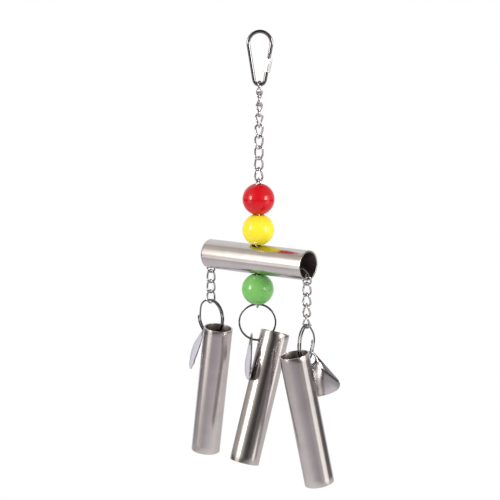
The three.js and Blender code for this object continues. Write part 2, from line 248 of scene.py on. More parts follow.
# Sizes that follow from those above.
quick_slope = math.asin((QUICK_TOP_RADIUS - QUICK_BOTTOM_RADIUS) / QUICK_ARC_SPACING)
quick_leg = QUICK_ARC_SPACING * math.cos(quick_slope)
quick_top_z = QUICK_WIRE / 2 - QUICK_TOP_RADIUS
quick_bottom_z = quick_top_z - QUICK_ARC_SPACING
link_half = (LINK_LENGTH - LINK_WIRE) / 2
link_side = (LINK_WIDTH - LINK_WIRE) / 2
link_pitch = LINK_LENGTH - 2 * LINK_WIRE - CLEARANCE
bead_bore = LINK_WIDTH + 2 * BEAD_BORE_PLAY
bar_hole = LINK_WIDTH + 2 * BAR_HOLE_PLAY
end_hole = LINK_WIRE + 2 * END_HOLE_PLAY
bow_radius = link_side - LINK_WIRE / 2
strip_rise = bow_radius - math.sqrt(max(0, bow_radius**2 - BAR_STRIP**2 / 4))
inner_rise = LINK_WIRE + CLEARANCE - strip_rise
end_link_half = (2 * LINK_WIRE + BAR_WALL + END_LINK_SLACK + inner_rise) / 2
ring_radius = (RING_DIAMETER - RING_WIRE) / 2
ring_layer = RING_WIRE + RING_LAYER_GAP
tube_hole = ring_layer + RING_WIRE + 2 * TUBE_HOLE_PLAY
clapper_hole = ring_layer + RING_WIRE + 2 * CLAPPER_HOLE_PLAY
link_seat = wire_seat(bow_radius, CLEARANCE)
tube_seat = wire_seat(tube_hole / 2, RING_SLACK)
clapper_seat = wire_seat(clapper_hole / 2, CLAPPER_SLACK)

# Heights, from the quick link down to the centre ring, and from there up through the beads.
quick_seat_z = quick_bottom_z - QUICK_BOTTOM_RADIUS + QUICK_WIRE / 2
first_link_z = quick_seat_z + CLEARANCE + LINK_WIRE / 2 - link_half
last_link_z = first_link_z - (LINK_COUNT - 1) * link_pitch
ring_drop = link_half - link_side + link_seat + ring_radius
centre_ring_z = last_link_z - ring_drop
bead_half = math.sqrt(BEAD_DIAMETER**2 - bead_bore**2) / 2
bead_on_ring = math.sqrt(RING_DIAMETER**2 - bead_bore**2) / 2
bead_on_bar = math.sqrt(BEAD_DIAMETER**2 - bar_hole**2) / 2
green_z = centre_ring_z + bead_on_ring + CLEARANCE + bead_half
bar_z = green_z + bead_on_bar + CLEARANCE + BAR_DIAMETER / 2
yellow_z = bar_z + BAR_DIAMETER / 2 + CLEARANCE + bead_on_bar
red_z = yellow_z + 2 * bead_half + CLEARANCE
strip_x = (BAR_LENGTH - BAR_STRIP) / 2
bar_floor_z = bar_z - BAR_DIAMETER / 2 + BAR_WALL
inner_bow_z = bar_floor_z + CLEARANCE + LINK_WIRE / 2
end_link_z = bar_floor_z + strip_rise + inner_rise + CLEARANCE + LINK_WIRE / 2 - end_link_half
side_link_z = end_link_z - end_link_half + LINK_WIRE + CLEARANCE - link_half


def plan(angle):
    """Level direction at an angle about Z."""
    return Vector((math.cos(math.radians(angle)), math.sin(math.radians(angle)), 0))


def turned(angle, x=0, y=0, z=0):
    """Stance at a point, turned about Z."""
    return Matrix.Translation(Vector((x, y, z)) * MM) @ Matrix.Rotation(math.radians(angle), 4, "Z")


# Materials. A noise field mostly stays between NOISE_LOW and NOISE_HIGH.
NOISE_LOW = 0.3
NOISE_HIGH = 0.7
NOISE_ROUGHNESS = 0.55
METAL_CLOUD_SCALE = 90
METAL_GRAIN_DETAIL = 6.0
METAL_RELIEF_HEIGHT = 0.00002
PLASTIC_CLOUD_SCALE = 140
PLASTIC_FINE_SCALE = 900
PLASTIC_FINE_DETAIL = 5.0
PLASTIC_RELIEF = 0.05
PLASTIC_RELIEF_HEIGHT = 0.00004
PLASTIC_IOR = 1.49
PLASTIC_SPECULAR = 0.4


def new_material(name):
    made = bpy.data.materials.new(name)
    made.use_nodes = True
    tree = made.node_tree
    tree.nodes.clear()
    shader = tree.nodes.new("ShaderNodeBsdfPrincipled")
    output = tree.nodes.new("ShaderNodeOutputMaterial")
    tree.links.new(shader.outputs["BSDF"], output.inputs["Surface"])
    return made, tree, shader, output


def noise_field(tree, scale, stretch=(1, 1, 1), detail=4.0):
    place = tree.nodes.new("ShaderNodeTexCoord")
    mapping = tree.nodes.new("ShaderNodeMapping")
    mapping.inputs["Scale"].default_value = stretch
    field = tree.nodes.new("ShaderNodeTexNoise")
    field.inputs["Scale"].default_value = scale
    field.inputs["Detail"].default_value = detail
    field.inputs["Roughness"].default_value = NOISE_ROUGHNESS
    tree.links.new(place.outputs["Object"], mapping.inputs["Vector"])
    tree.links.new(mapping.outputs["Vector"], field.inputs["Vector"])
    return field.outputs["Fac"]


def spread(tree, value, low, high, start=NOISE_LOW, end=NOISE_HIGH):
    remap = tree.nodes.new("ShaderNodeMapRange")
    remap.inputs["From Min"].default_value = start
    remap.inputs["From Max"].default_value = end
    remap.inputs["To Min"].default_value = low
    remap.inputs["To Max"].default_value = high
    tree.links.new(value, remap.inputs["Value"])
    return remap.outputs["Result"]


def blend_colours(tree, value, low, high):
    ramp = tree.nodes.new("ShaderNodeValToRGB")
    ramp.color_ramp.elements[0].position = NOISE_LOW
    ramp.color_ramp.elements[0].color = (*low, 1)
    ramp.color_ramp.elements[1].position = NOISE_HIGH
    ramp.color_ramp.elements[1].color = (*high, 1)
    tree.links.new(value, ramp.inputs["Fac"])
    return ramp.outputs["Color"]


def add_relief(tree, shader, field, strength, height):
    relief = tree.nodes.new("ShaderNodeBump")
    relief.inputs["Strength"].default_value = strength
    relief.inputs["Distance"].default_value = height
    tree.links.new(field, relief.inputs["Height"])
    tree.links.new(relief.outputs["Normal"], shader.inputs["Normal"])


def metal(name, tones, roughness, grain_scale, stretch, relief):
    """Metal in two clouded tones, with a grain in its roughness and relief."""
    made, tree, shader, _ = new_material(name)
    shader.inputs["Metallic"].default_value = 1.0
    cloud = noise_field(tree, METAL_CLOUD_SCALE)
    grain = noise_field(tree, grain_scale, stretch, METAL_GRAIN_DETAIL)
    tree.links.new(blend_colours(tree, cloud, *tones), shader.inputs["Base Color"])
    tree.links.new(spread(tree, grain, *roughness), shader.inputs["Roughness"])
    add_relief(tree, shader, grain, relief, METAL_RELIEF_HEIGHT)
    return made


def plastic(name, tones, roughness):
    """Glossy plastic in two clouded tones, with a slightly uneven surface."""
    made, tree, shader, _ = new_material(name)
    shader.inputs["IOR"].default_value = PLASTIC_IOR
    shader.inputs["Specular IOR Level"].default_value = PLASTIC_SPECULAR
    cloud = noise_field(tree, PLASTIC_CLOUD_SCALE)
    fine = noise_field(tree, PLASTIC_FINE_SCALE, detail=PLASTIC_FINE_DETAIL)
    tree.links.new(blend_colours(tree, cloud, *tones), shader.inputs["Base Color"])
    tree.links.new(spread(tree, fine, *roughness), shader.inputs["Roughness"])
    add_relief(tree, shader, cloud, PLASTIC_RELIEF, PLASTIC_RELIEF_HEIGHT)
    return made


steel = metal(
    "polished_steel",
    tones=((0.53, 0.50, 0.49), (0.59, 0.56, 0.55)),
    roughness=(0.17, 0.25),
    grain_scale=900,
    stretch=(1, 1, 0.02),
    relief=0.12,
)
plate = metal(
    "polished_plate",
    tones=((0.55, 0.53, 0.53), (0.61, 0.59, 0.60)),
    roughness=(0.12, 0.2),
    grain_scale=900,
    stretch=(1, 0.03, 1),
    relief=0.12,
)
# Inside walls of the tubes and crossbar: rougher than the outside, which is real, and a darker, browner
# tone than the outside steel, which is painted shade of the insides.
bore = metal(
    "unpolished_bore_painted_shade",
    tones=((0.26, 0.225, 0.205), (0.36, 0.32, 0.295)),
    roughness=(0.38, 0.55),
    grain_scale=700,
    stretch=(1, 1, 0.05),
    relief=0.4,
)
nickel = metal(
    "nickel_wire",
    tones=((0.43, 0.425, 0.425), (0.52, 0.515, 0.515)),
    roughness=(0.10, 0.18),
    grain_scale=1200,
    stretch=(1, 1, 1),
    relief=0.1,
)
# The nickel wire darkened well below its real tone: painted shade that stands in for the dark room that
# the quick link and the split rings reflect.
painted_shade_wire = metal(
    "nickel_wire_painted_shade",
    tones=((0.17, 0.168, 0.168), (0.24, 0.236, 0.236)),
    roughness=(0.10, 0.18),
    grain_scale=1200,
    stretch=(1, 1, 1),
    relief=0.1,
)
red = plastic(
    "red_bead",
    tones=((0.60, 0.004, 0.010), (0.68, 0.007, 0.014)),
    roughness=(0.10, 0.17),
)
yellow = plastic(
    "yellow_bead",
    tones=((0.95, 0.79, 0.03), (0.98, 0.84, 0.04)),
    roughness=(0.12, 0.2),
)
green = plastic(
    "green_bead",
    tones=((0.185, 0.515, 0.122), (0.215, 0.56, 0.146)),
    roughness=(0.12, 0.2),
)


# Meshes, with points in millimetres.
def add_piece(name, points, faces, matrix, body, nodes, materials, looks=None):
    """New piece on a body. Where it has several materials, looks gives each face's number."""
    mesh = bpy.data.meshes.new(name)
    mesh.from_pydata([Vector(p) * MM for p in points], [], faces)
    for made in materials:
        mesh.materials.append(made)
    if looks:
        for face, look in zip(mesh.polygons, looks):
            face.material_index = look
    work = bmesh.new()
    work.from_mesh(mesh)
    bmesh.ops.recalc_face_normals(work, faces=work.faces)
    for face in work.faces:
        face.smooth = True
    for edge in work.edges:
        edge.smooth = edge.calc_face_angle(0) < SHARP_ANGLE
    work.to_mesh(mesh)
    work.free()
    piece = bpy.data.objects.new(name, mesh)
    bpy.context.scene.collection.objects.link(piece)
    piece.matrix_world = matrix
    bpy.context.view_layer.update()
    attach(piece, body)
    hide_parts(*nodes)


def band(first, second):
    """Faces between two closed rows of points."""
    faces = []
    for j in range(len(first)):
        k = (j + 1) % len(first)
        faces.append((first[j], first[k], second[k], second[j]))
    return faces


def bands(count, columns, closed):
    """Faces between the rows of a grid of points, and from the last row to the first where closed."""
    rows = [range(i * columns, (i + 1) * columns) for i in range(count)]
    faces = []
    for i in range(count if closed else count - 1):
        faces += band(rows[i], rows[(i + 1) % count])
    return faces


def sweep(path, radii, sides, closed):
    """Round wire along a path, by rings that turn as little as they can from one to the next."""
    count = len(path)
    path = [Vector(p) for p in path]
    tangents = []
    for i in range(count):
        before = path[i - 1] if closed or i else path[i]
        after = path[(i + 1) % count] if closed or i < count - 1 else path[i]
        tangents.append((after - before).normalized())
    normal = tangents[0].orthogonal().normalized()
    normals = [normal]
    for i in range(1, count):
        normal = tangents[i - 1].rotation_difference(tangents[i]) @ normal
        normals.append(normal.normalized())
    extra = 0
    if closed:
        last = tangents[-1].rotation_difference(tangents[0]) @ normals[-1]
        extra = math.atan2(normals[0].cross(last).dot(tangents[0]), normals[0].dot(last))
    points = []
    for i in range(count):
        side = tangents[i].cross(normals[i])
        for j in range(sides):
            angle = 2 * math.pi * j / sides - extra * i / count
            points.append(path[i] + radii[i] * (math.cos(angle) * normals[i] + math.sin(angle) * side))
    faces = bands(count, sides, closed)
    if not closed:
        faces.append(tuple(range(sides)))
        faces.append(tuple(range((count - 1) * sides, count * sides)))
    return points, faces


def circle(radius, z):
    """Points of one row round Z."""
    angles = [j * COLUMN_STEP for j in range(COLUMNS)]
    return [(radius * math.cos(angle), radius * math.sin(angle), z) for angle in angles]


# Drilled tubes about Z.
OUTSIDE = 0
BORE = 1


class Hole(NamedTuple):
    """Round hole in a tube, and half the patch round it in columns and in height."""

    column: int
    z: float
    radius: float
    reach: int
    rise: float


class Shell:
    """Tube in the making: points, faces, and the material number of each face."""

    def __init__(self):
        self.points = []
        self.faces = []
        self.looks = []

    def add_row(self, spots):
        first = len(self.points)
        self.points += spots
        return range(first, len(self.points))

    def add_faces(self, faces, look):
        self.faces += faces
        self.looks += [look] * len(faces)

    def add_bands(self, rows, look):
        for first, second in zip(rows, rows[1:]):
            self.add_faces(band(first, second), look)


def tube_rows(bottom, top, holes):
    """Heights of a tube's rows of points, close together beside a hole."""
    patches = [(hole.z - hole.rise, hole.z + hole.rise) for hole in holes]
    marks = {bottom + RIM_EDGE, top - RIM_EDGE}
    for patch in patches:
        marks.update(patch)
    marks = sorted(marks)
    heights = [marks[0]]
    for low, high in zip(marks, marks[1:]):
        beside = any(start <= low + TINY and high <= end + TINY for start, end in patches)
        parts = PATCH_ROWS if beside else max(1, round((high - low) / ROW_HEIGHT))
        heights += [low + (high - low) * (i + 1) / parts for i in range(parts)]
    return heights


def patch_places(hole, heights):
    """Columns and rows of points round the patch of a hole, and the cells of the grid inside it."""
    low = min(range(len(heights)), key=lambda i: abs(heights[i] - hole.z + hole.rise))
    high = min(range(len(heights)), key=lambda i: abs(heights[i] - hole.z - hole.rise))
    start = hole.column - hole.reach
    end = hole.column + hole.reach
    border = [(j, low) for j in range(start, end)]
    border += [(end, i) for i in range(low, high)]
    border += [(j, high) for j in range(end, start, -1)]
    border += [(start, i) for i in range(high, low, -1)]
    cells = {(i, j % COLUMNS) for i in range(low, high) for j in range(start, end)}
    return border, cells


def hole_point(hole, x, y, rise):
    """Point by a hole, from its distance along the hole's axis, its side and its height there."""
    return Matrix.Rotation(hole.column * COLUMN_STEP, 3, "Z") @ Vector((x, y, hole.z + rise))


def add_wall(shell, radius, outer, heights, holes, look):
    """One wall of a tube, with rings of faces from each patch's border to the hole's edge."""
    grid = [shell.add_row(circle(radius, z)) for z in heights]
    taken = set()
    edges = []
    for hole in holes:
        border, cells = patch_places(hole, heights)
        taken |= cells
        middle = hole.column * COLUMN_STEP
        sides = [math.sin(j * COLUMN_STEP - middle) for j, i in border]
        rises = [heights[i] - hole.z for j, i in border]
        directions = [math.atan2(rise, outer * side) for side, rise in zip(sides, rises)]
        edge = hole.radius + HOLE_EDGE
        rings = [[grid[i][j % COLUMNS] for j, i in border]]
        for part in range(1, PATCH_RINGS + 1):
            share = (part / PATCH_RINGS) ** PATCH_EASE
            spots = []
            for side, rise, direction in zip(sides, rises, directions):
                y = radius * side + (edge * math.cos(direction) - radius * side) * share
                z = rise + (edge * math.sin(direction) - rise) * share
                spots.append(hole_point(hole, math.sqrt(radius**2 - y * y), y, z))
            rings.append(shell.add_row(spots))
        shell.add_bands(rings, look)
        edges.append((rings[-1], directions))
    for i in range(len(heights) - 1):
        cells = band(grid[i], grid[i + 1])
        shell.add_faces([cell for j, cell in enumerate(cells) if (i, j) not in taken], look)
    return grid, edges


def drilled_tube(outer, wall, bottom, top, holes):
    """Tube with rounded rims and holes, as points, faces and each face's material number."""
    shell = Shell()
    inner = outer - wall
    heights = tube_rows(bottom, top, holes)
    out_grid, out_edges = add_wall(shell, outer, outer, heights, holes, OUTSIDE)
    in_grid, in_edges = add_wall(shell, inner, outer, heights, holes, BORE)
    for hole, (out_ring, directions), (in_ring, _) in zip(holes, out_edges, in_edges):
        rings = [out_ring]
        for base, shift in ((outer, -HOLE_EDGE), (inner, HOLE_EDGE)):
            spots = []
            for direction in directions:
                y = hole.radius * math.cos(direction)
                x = math.sqrt(base * base - y * y) + shift
                spots.append(hole_point(hole, x, y, hole.radius * math.sin(direction)))
            rings.append(shell.add_row(spots))
        shell.add_bands([*rings, in_ring], OUTSIDE)
    edge_steps = [(outer, 1, turn) for turn in RIM_OUTER_TURNS]
    edge_steps += [(inner, -1, turn) for turn in RIM_INNER_TURNS]
    for z, sign, end in ((top, 1, -1), (bottom, -1, 0)):
        rows = [out_grid[end]]
        for base, side, turn in edge_steps:
            radius = base - side * RIM_EDGE * (1 - math.cos(math.radians(turn)))
            height = z - sign * RIM_EDGE * (1 - math.sin(math.radians(turn)))
            rows.append(shell.add_row(circle(radius, height)))
        shell.add_bands([*rows, in_grid[end]], OUTSIDE)
    return shell.points, shell.faces, shell.looks


# Quick link: a pear-shaped wire from above its gap, over the top and round the bottom to below the gap.
sleeve_bottom = quick_leg - SLEEVE_LIFT
gap_bottom = sleeve_bottom - SLEEVE_GRIP
gap_top = gap_bottom - QUICK_GAP
quick_runs = [
    gap_top,
    QUICK_TOP_RADIUS * (math.pi + 2 * quick_slope),
    quick_leg,
    QUICK_BOTTOM_RADIUS * (math.pi - 2 * quick_slope),
    quick_leg - gap_bottom,
]
quick_length = sum(quick_runs)


def leg_point(side, down):
    x = QUICK_TOP_RADIUS * math.cos(quick_slope) - down * math.sin(quick_slope)
    z = quick_top_z - QUICK_TOP_RADIUS * math.sin(quick_slope) - down * math.cos(quick_slope)
    return (side * x, 0, z)


def arc_point(radius, middle_z, angle):
    return (radius * math.cos(angle), 0, middle_z + radius * math.sin(angle))


def quick_point(along):
    run = 0
    while run < 4 and along > quick_runs[run]:
        along -= quick_runs[run]
        run += 1
    if run == 0:
        return leg_point(1, gap_top - along)
    if run == 1:
        return arc_point(QUICK_TOP_RADIUS, quick_top_z, along / QUICK_TOP_RADIUS - quick_slope)
    if run == 2:
        return leg_point(-1, along)
    if run == 3:
        angle = math.pi + quick_slope + along / QUICK_BOTTOM_RADIUS
        return arc_point(QUICK_BOTTOM_RADIUS, quick_bottom_z, angle)
    return leg_point(1, quick_leg - along)


def quick_wire_radius(along):
    """Half the wire's thickness, less in the thread's grooves and at either end."""
    groove = 0
    if THREAD_START < along < THREAD_END:
        groove = THREAD_DEPTH * (0.5 - 0.5 * math.cos(2 * math.pi * along / THREAD_PITCH))
    upper = UPPER_END_TAPER * max(0, 1 - along / UPPER_END_LENGTH)
    lower = LOWER_END_TAPER * max(0, 1 - (quick_length - along) / LOWER_END_LENGTH)
    return QUICK_WIRE / 2 - groove - (upper + lower)


thread_from = QUICK_END_STEP * QUICK_END_STEPS
plain_length = quick_length - QUICK_PLAIN_START
stops = [QUICK_END_STEP * i for i in range(QUICK_END_STEPS)]
stops += [thread_from + QUICK_THREAD_STEP * i for i in range(QUICK_THREAD_STEPS)]
stops += [QUICK_PLAIN_START + plain_length * i / QUICK_PLAIN_STEPS for i in range(QUICK_PLAIN_STEPS)]
stops.append(quick_length)
path = [quick_point(along) for along in stops]
radii = [quick_wire_radius(along) for along in stops]
points, faces = sweep(path, radii, QUICK_SIDES, False)
stance = turned(FACING)
# The quick link's wire takes the darkened nickel, with its painted shade.
add_piece("quick_link_wire", points, faces, stance, "quick_link", ["quick_link"], [painted_shade_wire])

# Sleeve: hexagonal, with turned ends and a round bore. A row with no radius follows the hexagon.
sleeve_half = SLEEVE_LENGTH / 2
sleeve_corner = SLEEVE_ACROSS / 2 / math.cos(math.radians(HEX_ANGLE / 2))
sleeve_bore = QUICK_WIRE / 2 + CLEARANCE
profile = [(sleeve_bore + SLEEVE_BORE_EDGE, -sleeve_half)]
profile += [(None, depth - sleeve_half) for depth in SLEEVE_ROW_DEPTHS]
profile += [(None, sleeve_half - depth) for depth in reversed(SLEEVE_ROW_DEPTHS)]
profile.append((sleeve_bore + SLEEVE_BORE_EDGE, sleeve_half))
profile.append((sleeve_bore, sleeve_half - SLEEVE_BORE_EDGE))
profile.append((sleeve_bore, SLEEVE_BORE_EDGE - sleeve_half))
points = []
for radius, z in profile:
    limit = sleeve_corner - max(0, SLEEVE_CHAMFER - (sleeve_half - abs(z)))
    for j in range(COLUMNS):
        angle = 360 * j / COLUMNS
        off_flat = (angle + HEX_ANGLE / 2) % HEX_ANGLE - HEX_ANGLE / 2
        flat = SLEEVE_ACROSS / 2 / math.cos(math.radians(off_flat))
        rounded = min(flat, sleeve_corner - SLEEVE_CORNER_EDGE)
        reach = radius if radius else min(rounded, limit)
        spot = reach * plan(angle)
        points.append((spot.x, spot.y, z))
faces = bands(len(profile), COLUMNS, True)
seat = Matrix.Translation(Vector(leg_point(1, sleeve_bottom - sleeve_half)) * MM)
stance = turned(FACING) @ seat @ Matrix.Rotation(quick_slope, 4, "Y")
add_piece("sleeve_nut", points, faces, stance, "sleeve", ["quick_link_sleeve"], [nickel])


# Chain links: a flat link's path, twisted about its length.
def link_path(half):
    straight = max(0, half - link_side)
    bow = half - straight
    bow_run = math.pi * link_side
    half_run = bow_run + 2 * straight
    path = []
    for i in range(LINK_STEPS):
        along = 2 * half_run * i / LINK_STEPS
        sign = 1 if along < half_run else -1
        run = along % half_run
        u = link_side
        w = straight - (run - bow_run)
        if run < bow_run:
            u = -link_side * math.cos(run / link_side)
            w = straight + bow * math.sin(run / link_side)
        turn = -math.radians(LINK_TWIST / 2) * sign * w / half
        path.append((sign * u * math.cos(turn), sign * u * math.sin(turn), sign * w))
    return path


def add_link(node, body, half, stance, wire=LINK_WIRE):
    path = link_path(half)
    points, faces = sweep(path, [wire / 2] * len(path), LINK_SIDES, True)
    add_piece(f"{node}_wire", points, faces, stance, body, [node], [nickel])


# Main chain: free links that turn evenly, then threaded links that bring the last one to its ring.
main_start = FACING + FIRST_LINK_TURN
bead_start = main_start + FREE_LINK_COUNT * FREE_LINK_TURN
main_end = CENTRE_HANG.ring_turn - 270 - LINK_TWIST / 2
for i in range(LINK_COUNT):
    free = min(i, FREE_LINK_COUNT)
    threaded = max(0, i - FREE_LINK_COUNT) / (LINK_COUNT - 1 - FREE_LINK_COUNT)
    turn = main_start + free * FREE_LINK_TURN + (main_end - bead_start) * threaded
    stance = turned(turn, 0, 0, first_link_z - i * link_pitch)
    body = f"chain_{i + 1:02d}" if i < FREE_LINK_COUNT else "threaded_chain"
    add_link(f"main_link_{i + 1:02d}", body, link_half, stance)

# Beads: a ball's profile from bottom to top, a lip, the bore and the lower lip, turned about Z.
ball_start = math.asin(bead_bore / BEAD_DIAMETER) + math.radians(BEAD_LIP_ANGLE)
profile = []
for i in range(BEAD_ROWS + 1):
    angle = ball_start + (math.pi - 2 * ball_start) * i / BEAD_ROWS
    profile.append((BEAD_DIAMETER / 2 * math.sin(angle), -BEAD_DIAMETER / 2 * math.cos(angle)))
ball_radius, ball_z = profile[-1]
rim_z = bead_half - BEAD_LIP_DEPTH
lip = []
for share in BEAD_LIP_SHARES:
    inward = (bead_bore / 2 - ball_radius) * share**BEAD_LIP_INWARD_POWER
    downward = (ball_z - rim_z) * share**BEAD_LIP_DOWNWARD_POWER
    lip.append((ball_radius + inward, ball_z - downward))
profile += lip
profile += [(bead_bore / 2, rim_z), (bead_bore / 2, 0), (bead_bore / 2, -rim_z)]
profile += [(radius, -z) for radius, z in reversed(lip)]
points = []
for radius, z in profile:
    points += circle(radius, z)
faces = bands(len(profile), COLUMNS, True)
beads = (
    ("red_bead", red_z, red),
    ("yellow_bead", yellow_z, yellow),
    ("green_bead", green_z, green),
)
for name, z, look in beads:
    add_piece(f"{name}_ball", points, faces, turned(0, 0, 0, z), name, [name], [look])

# Crossbar: a tube laid along X, its first column below, with holes for the chain and near each end.
end_z = BAR_LENGTH / 2 - BAR_STRIP - end_hole / 2
holes = [Hole(column, 0, bar_hole / 2, *BAR_PATCH) for column in (0, COLUMNS // 2)]
holes += [Hole(0, z, end_hole / 2, *END_PATCH) for z in (end_z, -end_z)]
points, faces, looks = drilled_tube(BAR_DIAMETER / 2, BAR_WALL, -BAR_LENGTH / 2, BAR_LENGTH / 2, holes)
lying = turned(0, 0, 0, bar_z) @ Matrix.Rotation(math.pi / 2, 4, "Y")
# The crossbar's inside takes the bore material, with its painted shade.
add_piece(
    "crossbar_shell",
    points,
    faces,
    lying,
    "crossbar",
    ["crossbar_tube"],
    [steel, bore],
    looks,
)


# Clapper: a flat plate about its hole's centre, tip up.
def clapper_outline():
    """Even points along the arcs of the tip, a corner, the bottom edge and the other corner."""
    tip = clapper_hole / 2 + CLAPPER_TIP_RIM
    bottom = CLAPPER_LENGTH - tip
    x = CLAPPER_WIDTH / 2 - CLAPPER_CORNER
    y = bottom - CLAPPER_FOOT
    reach = bottom - CLAPPER_CORNER
    arc_y = (x * x + y * y - reach * reach) / (2 * (reach - y))
    edge = math.atan2(-y, x) + math.acos((tip - CLAPPER_CORNER) / math.hypot(x, y))
    foot = math.atan2(-y - arc_y, x)
    arcs = [
        (0, 0, tip, edge, math.pi - edge),
        (-x, -y, CLAPPER_CORNER, math.pi - edge, math.pi - foot),
        (0, arc_y, bottom + arc_y, math.pi - foot, 2 * math.pi + foot),
        (x, -y, CLAPPER_CORNER, foot, edge),
    ]
    trace = []
    for u, v, radius, begin, end in arcs:
        for i in range(CLAPPER_ARC_STEPS + 1):
            angle = begin + (end - begin) * i / CLAPPER_ARC_STEPS
            trace.append(Vector((u + radius * math.cos(angle), v + radius * math.sin(angle))))
    trace.append(trace[0])
    lengths = [0]
    for first, second in zip(trace, trace[1:]):
        lengths.append(lengths[-1] + (second - first).length)
    even = []
    spot = 0
    for i in range(CLAPPER_STEPS):
        goal = lengths[-1] * i / CLAPPER_STEPS
        while lengths[spot + 1] < goal:
            spot += 1
        share = (goal - lengths[spot]) / max(LEAST_LENGTH, lengths[spot + 1] - lengths[spot])
        even.append(trace[spot].lerp(trace[spot + 1], share))
    return even


def clapper_mesh():
    """Rows of points from the outline over the front to the hole, and from the hole over the back."""
    outline = clapper_outline()
    half = CLAPPER_THICKNESS / 2
    rim = [(half - down * CLAPPER_EDGE, inwards * CLAPPER_EDGE) for inwards, down in CLAPPER_EDGE_STEPS]
    front = [(x, inset, False) for x, inset in rim]
    front += [(x, inset, True) for x, inset in reversed(rim)]
    back = [(-x, inset, at_hole) for x, inset, at_hole in reversed(front)]
    points = []
    for x, inset, at_hole in front + back:
        for spot in outline:
            reach = clapper_hole / 2 + inset if at_hole else spot.length - inset
            flat = spot * (reach / spot.length)
            points.append((x, flat.x, flat.y - clapper_seat))
    return points, bands(len(front + back), len(outline), True)


# Chimes: split ring, tube and clapper.
def on_ring(centre, outward, angle):
    """Point on the ring's middle line, by its angle from the lowest one."""
    place = math.radians(angle)
    return centre + ring_radius * math.sin(place) * outward - ring_radius * math.cos(place) * UP


def coil_path():
    """Two turns of wire, side by side, with a smooth step from one to the other."""
    first = RING_CROSS_AT + RING_TIP_ANGLE
    last = RING_CROSS_AT + 720 - RING_TIP_ANGLE
    begin = RING_CROSS_AT + 360 - RING_CROSS_ANGLE / 2
    path = []
    for i in range(RING_STEPS + 1):
        angle = first + (last - first) * i / RING_STEPS
        share = min(1, max(0, (angle - begin) / RING_CROSS_ANGLE))
        step = share * share * (3 - 2 * share)
        turn = math.radians(angle)
        y = ring_layer * (step - 0.5)
        path.append((ring_radius * math.cos(turn), y, ring_radius * math.sin(turn)))
    return path


def flat_sided(point, middle):
    """Ring wire is flat on the two faces that look along the ring's axis."""
    return Vector((point.x, middle + max(-RING_FLAT, min(RING_FLAT, point.y - middle)), point.z))


def add_ring(side, centre, hang):
    path = coil_path()
    radii = [RING_WIRE / 2] * len(path)
    radii[0] = radii[-1] = RING_WIRE / 2 - RING_TIP_TAPER
    points, faces = sweep(path, radii, RING_SIDES, False)
    points = [flat_sided(p, path[i // RING_SIDES][1]) for i, p in enumerate(points)]
    name = f"{side}_split_ring"
    stance = turned(hang.ring_turn, *centre)
    # The ring's wire takes the darkened nickel, with its painted shade.
    add_piece(f"{name}_coil", points, faces, stance, name, [name], [painted_shade_wire])


def add_tube(side, spot, hang):
    lean = math.radians(hang.lean)
    axis = math.cos(lean) * UP - math.sin(lean) * plan(hang.lean_turn)
    across = axis.cross(plan(hang.hole_turn)).normalized()
    facing = across.cross(axis)
    spin = Matrix((facing, across, axis)).transposed().to_4x4()
    outer = TUBE_DIAMETER / 2
    bottom = TUBE_RIM_HEIGHT - TUBE_LENGTH
    holes = [Hole(0, -tube_seat, tube_hole / 2, *TUBE_PATCH)]
    points, faces, looks = drilled_tube(outer, TUBE_WALL, bottom, TUBE_RIM_HEIGHT, holes)
    points = [Vector(p) + Vector((TUBE_WALL / 2 - outer, 0, 0)) for p in points]
    stance = Matrix.Translation(spot * MM) @ spin
    name = f"{side}_chime_tube"
    # The tube's inside takes the bore material, with its painted shade.
    walls = [steel, bore]
    add_piece(f"{name}_shell", points, faces, stance, name, [name], walls, looks)


def add_clapper(side, spot, hang):
    points, faces = clapper_mesh()
    spin = Matrix.Rotation(math.radians(hang.clapper_turn), 4, "Z")
    spin = spin @ Matrix.Rotation(-math.radians(hang.clapper_lean), 4, "Y")
    spin = spin @ Matrix.Rotation(math.radians(hang.clapper_roll), 4, "X")
    stance = Matrix.Translation(spot * MM) @ spin
    name = f"{side}_clapper"
    add_piece(f"{name}_plate", points, faces, stance, name, [name], [plate])


def add_chime(side, x, link_z, hang):
    centre = Vector((x, 0, link_z - ring_drop))
    outward = plan(hang.ring_turn)
    add_ring(side, centre, hang)
    add_tube(side, on_ring(centre, outward, hang.tube_place), hang)
    add_clapper(side, on_ring(centre, outward, hang.clapper_place), hang)


# Side chains. The inner link lies in the crossbar's bore, its outer bow flat across the strip by the rim.
def add_inner_link(side, sign):
    tilt = math.radians(INNER_LINK_TILT)
    along = Vector((sign * math.cos(tilt), 0, -math.sin(tilt)))
    level = Vector((0, 1, 0))
    half_twist = math.radians(LINK_TWIST / 2)
    wide = math.cos(half_twist) * level + math.sin(half_twist) * along.cross(level)
    spin = Matrix((wide, along.cross(wide), along)).transposed().to_4x4()
    spot = Vector((sign * strip_x, 0, inner_bow_z)) - link_half * along
    add_link(f"{side}_inner_link", "crossbar", link_half, Matrix.Translation(spot * MM) @ spin)


def add_side_chain(side, sign, count, hang):
    x = sign * strip_x
    name = f"{side}_end_link"
    add_link(name, name, end_link_half, turned(END_LINK_TURN, x, 0, end_link_z), END_LINK_WIRE)
    add_inner_link(side, sign)
    whole_turn = (hang.ring_turn - LINK_TWIST / 2 - SIDE_LINK_TURN) % 180 - 90
    for i in range(1, count + 1):
        name = f"{side}_link_{i}"
        turn = SIDE_LINK_TURN + whole_turn * i / (count + 1)
        add_link(name, name, link_half, turned(turn, x, 0, side_link_z - (i - 1) * link_pitch))
    add_chime(side, x, side_link_z - (count - 1) * link_pitch, hang)


add_side_chain("left", -1, LEFT_LINK_COUNT, LEFT_HANG)
add_side_chain("right", 1, RIGHT_LINK_COUNT, RIGHT_HANG)
add_chime("centre", 0, last_link_z, CENTRE_HANG)

